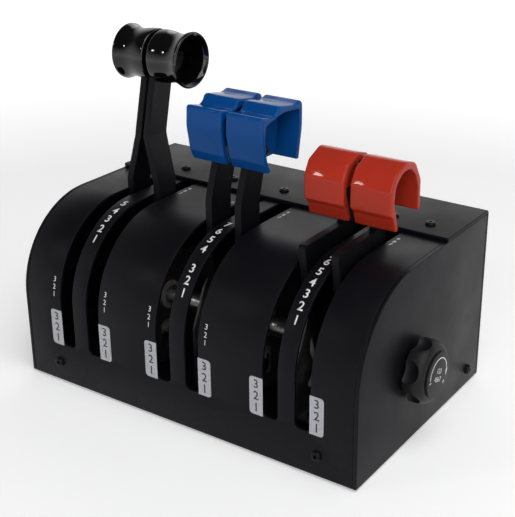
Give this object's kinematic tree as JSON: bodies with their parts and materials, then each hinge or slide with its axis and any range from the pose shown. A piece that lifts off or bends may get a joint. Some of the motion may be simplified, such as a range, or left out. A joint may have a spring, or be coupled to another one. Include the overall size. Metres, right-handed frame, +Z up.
{
  "type": "throttle quadrant",
  "caption": "Desk-top throttle quadrant: curved black sheet housing with slotted cover, paired power, propeller and mixture levers with shaped grips, and a side friction knob.",
  "frame": {"origin": "centre of the flat underside of the base tray", "axes": "+Z up, +X to the pilot's right along the pivot shaft, -Y towards the pilot, who faces the slotted curve"},
  "size_m": [0.2571, 0.1568, 0.213],
  "materials": {
    "powder_coat": "satin black powder coat with a fine orange-peel texture",
    "arm_coat": "satin black powder coat",
    "gloss_black": "high-gloss black",
    "gloss_blue": "high-gloss blue",
    "gloss_red": "high-gloss red",
    "acetal": "natural acetal",
    "zinc_plate": "zinc-plated sheet",
    "bright_steel": "turned steel",
    "black_steel": "black oxide",
    "brass": "turned brass",
    "friction_lining": "fibre friction lining",
    "rubber": "moulded rubber",
    "circuit_board": "green solder resist",
    "dark_plastic": "fine-textured black nylon"
  },
  "bodies": {
    "housing": {"back_screws": "black_steel", "base_tray": "powder_coat", "board_pillars": "brass", "board_screws": "black_steel", "bracket_screws": "black_steel", "controller_board": "circuit_board", "friction_discs": "friction_lining", "front_cover": "powder_coat", "front_screws": "black_steel", "left_side_plate": "powder_coat", "lid_and_back": "powder_coat", "lid_screws": "black_steel", "mixture_bracket": "zinc_plate", "pivot_shaft": "bright_steel", "position_sensors": "dark_plastic", "power_bracket": "zinc_plate", "propeller_bracket": "zinc_plate", "right_side_plate": "powder_coat", "rubber_feet": "rubber", "sensor_nuts": "bright_steel", "shaft_bushes": "acetal", "side_screws": "black_steel", "spacer_tubes": "bright_steel", "spring_washers": "bright_steel", "usb_socket": "bright_steel"},
    "lever_power_left": {"arm_power_left": "arm_coat", "sector_power_left": "acetal", "knob_power_left": "gloss_black", "knob_screw_power_left": "black_steel"},
    "sensor_rotor_power_left": {"rotor_power_left": "acetal"},
    "lever_power_right": {"arm_power_right": "arm_coat", "sector_power_right": "acetal", "knob_power_right": "gloss_black", "knob_screw_power_right": "black_steel"},
    "sensor_rotor_power_right": {"rotor_power_right": "acetal"},
    "lever_propeller_left": {"arm_propeller_left": "arm_coat", "sector_propeller_left": "acetal", "knob_propeller_left": "gloss_blue", "knob_screw_propeller_left": "black_steel"},
    "sensor_rotor_propeller_left": {"rotor_propeller_left": "acetal"},
    "lever_propeller_right": {"arm_propeller_right": "arm_coat", "sector_propeller_right": "acetal", "knob_propeller_right": "gloss_blue", "knob_screw_propeller_right": "black_steel"},
    "sensor_rotor_propeller_right": {"rotor_propeller_right": "acetal"},
    "lever_mixture_left": {"arm_mixture_left": "arm_coat", "sector_mixture_left": "acetal", "knob_mixture_left": "gloss_red", "knob_screw_mixture_left": "black_steel"},
    "sensor_rotor_mixture_left": {"rotor_mixture_left": "acetal"},
    "lever_mixture_right": {"arm_mixture_right": "arm_coat", "sector_mixture_right": "acetal", "knob_mixture_right": "gloss_red", "knob_screw_mixture_right": "black_steel"},
    "sensor_rotor_mixture_right": {"rotor_mixture_right": "acetal"},
    "draw_knob": {"friction_knob": "dark_plastic", "friction_knob_cap": "dark_plastic", "draw_nut": "brass"}
  },
  "joints": [
    {"name": "power_left_lever", "type": "hinge", "parent": "housing", "child": "lever_power_left", "pos_m": [-0.0855, -0.0145, 0.046], "axis": [-1, 0, 0], "range_deg": [-108, 13]},
    {"name": "power_left_rotor", "type": "hinge", "parent": "housing", "child": "sensor_rotor_power_left", "pos_m": [-0.0855, 0.026, 0.046], "axis": [-1, 0, 0], "range_deg": [-27, 217]},
    {"name": "power_right_lever", "type": "hinge", "parent": "housing", "child": "lever_power_right", "pos_m": [-0.0645, -0.0145, 0.046], "axis": [-1, 0, 0], "range_deg": [-108, 13]},
    {"name": "power_right_rotor", "type": "hinge", "parent": "housing", "child": "sensor_rotor_power_right", "pos_m": [-0.0645, 0.026, 0.046], "axis": [-1, 0, 0], "range_deg": [-27, 217]},
    {"name": "propeller_left_lever", "type": "hinge", "parent": "housing", "child": "lever_propeller_left", "pos_m": [-0.0105, -0.0145, 0.046], "axis": [-1, 0, 0], "range_deg": [-93, 24]},
    {"name": "propeller_left_rotor", "type": "hinge", "parent": "housing", "child": "sensor_rotor_propeller_left", "pos_m": [-0.0105, 0.026, 0.046], "axis": [-1, 0, 0], "range_deg": [-49, 187]},
    {"name": "propeller_right_lever", "type": "hinge", "parent": "housing", "child": "lever_propeller_right", "pos_m": [0.0105, -0.0145, 0.046], "axis": [-1, 0, 0], "range_deg": [-93, 24]},
    {"name": "propeller_right_rotor", "type": "hinge", "parent": "housing", "child": "sensor_rotor_propeller_right", "pos_m": [0.0105, 0.026, 0.046], "axis": [-1, 0, 0], "range_deg": [-49, 187]},
    {"name": "mixture_left_lever", "type": "hinge", "parent": "housing", "child": "lever_mixture_left", "pos_m": [0.0645, -0.0145, 0.046], "axis": [-1, 0, 0], "range_deg": [-78, 11]},
    {"name": "mixture_left_rotor", "type": "hinge", "parent": "housing", "child": "sensor_rotor_mixture_left", "pos_m": [0.0645, 0.026, 0.046], "axis": [-1, 0, 0], "range_deg": [-23, 157]},
    {"name": "mixture_right_lever", "type": "hinge", "parent": "housing", "child": "lever_mixture_right", "pos_m": [0.0855, -0.0145, 0.046], "axis": [-1, 0, 0], "range_deg": [-78, 11]},
    {"name": "mixture_right_rotor", "type": "hinge", "parent": "housing", "child": "sensor_rotor_mixture_right", "pos_m": [0.0855, 0.026, 0.046], "axis": [-1, 0, 0], "range_deg": [-23, 157]},
    {"name": "friction_knob_turn", "type": "hinge", "parent": "housing", "child": "draw_knob", "pos_m": [0.125, -0.0145, 0.046], "axis": [1, 0, 0], "range_deg": [-135, 135]}
  ],
  "couplings": [
    {"joint": "power_left_rotor", "follows": "power_left_lever", "ratio": -2},
    {"joint": "power_right_rotor", "follows": "power_right_lever", "ratio": -2},
    {"joint": "propeller_left_rotor", "follows": "propeller_left_lever", "ratio": -2},
    {"joint": "propeller_right_rotor", "follows": "propeller_right_lever", "ratio": -2},
    {"joint": "mixture_left_rotor", "follows": "mixture_left_lever", "ratio": -2},
    {"joint": "mixture_right_rotor", "follows": "mixture_right_lever", "ratio": -2}
  ]
}
